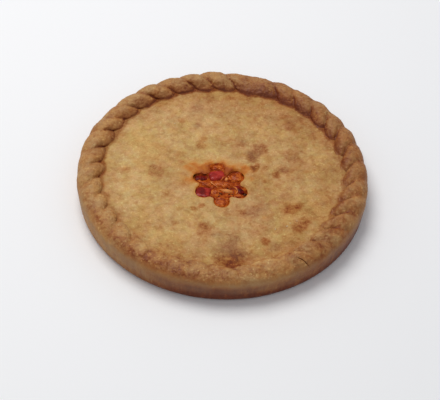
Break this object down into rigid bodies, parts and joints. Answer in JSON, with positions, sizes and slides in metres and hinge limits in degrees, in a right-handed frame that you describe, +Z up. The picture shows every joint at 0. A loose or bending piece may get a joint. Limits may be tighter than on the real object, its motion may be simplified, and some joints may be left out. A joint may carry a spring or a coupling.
{
  "type": "savoury pie",
  "caption": "Round baked chicken pie with a twisted rope edge and a flower-shaped vent in its lid that shows the filling.",
  "frame": {"origin": "centre of the base, on the surface that the pie stands on", "axes": "+Z up; +Y from the side nearest to the viewer in the picture to the far side; +X to the viewer's right"},
  "size_m": [0.2402, 0.2406, 0.0289],
  "materials": {
    "crust": "matt baked pastry, brown",
    "lid": "matt baked pastry, pale gold",
    "sauce": "wet, thick tomato sauce",
    "pepper": "wet cooked red pepper",
    "chicken": "chicken coated in orange sauce",
    "onion": "wet cooked onion"
  },
  "bodies": {
    "root": {"pastry_case": "crust", "pastry_lid": "lid", "filling": "sauce", "red_pepper_back": "pepper", "red_pepper_left": "pepper", "red_pepper_right": "pepper", "red_pepper_tip": "pepper", "chicken_middle": "chicken", "chicken_left": "chicken", "chicken_low": "chicken", "chicken_round": "chicken", "chicken_back": "chicken", "chicken_front": "chicken", "chicken_right": "chicken", "onion_strip": "onion", "onion_bit": "onion"}
  },
  "joints": []
}
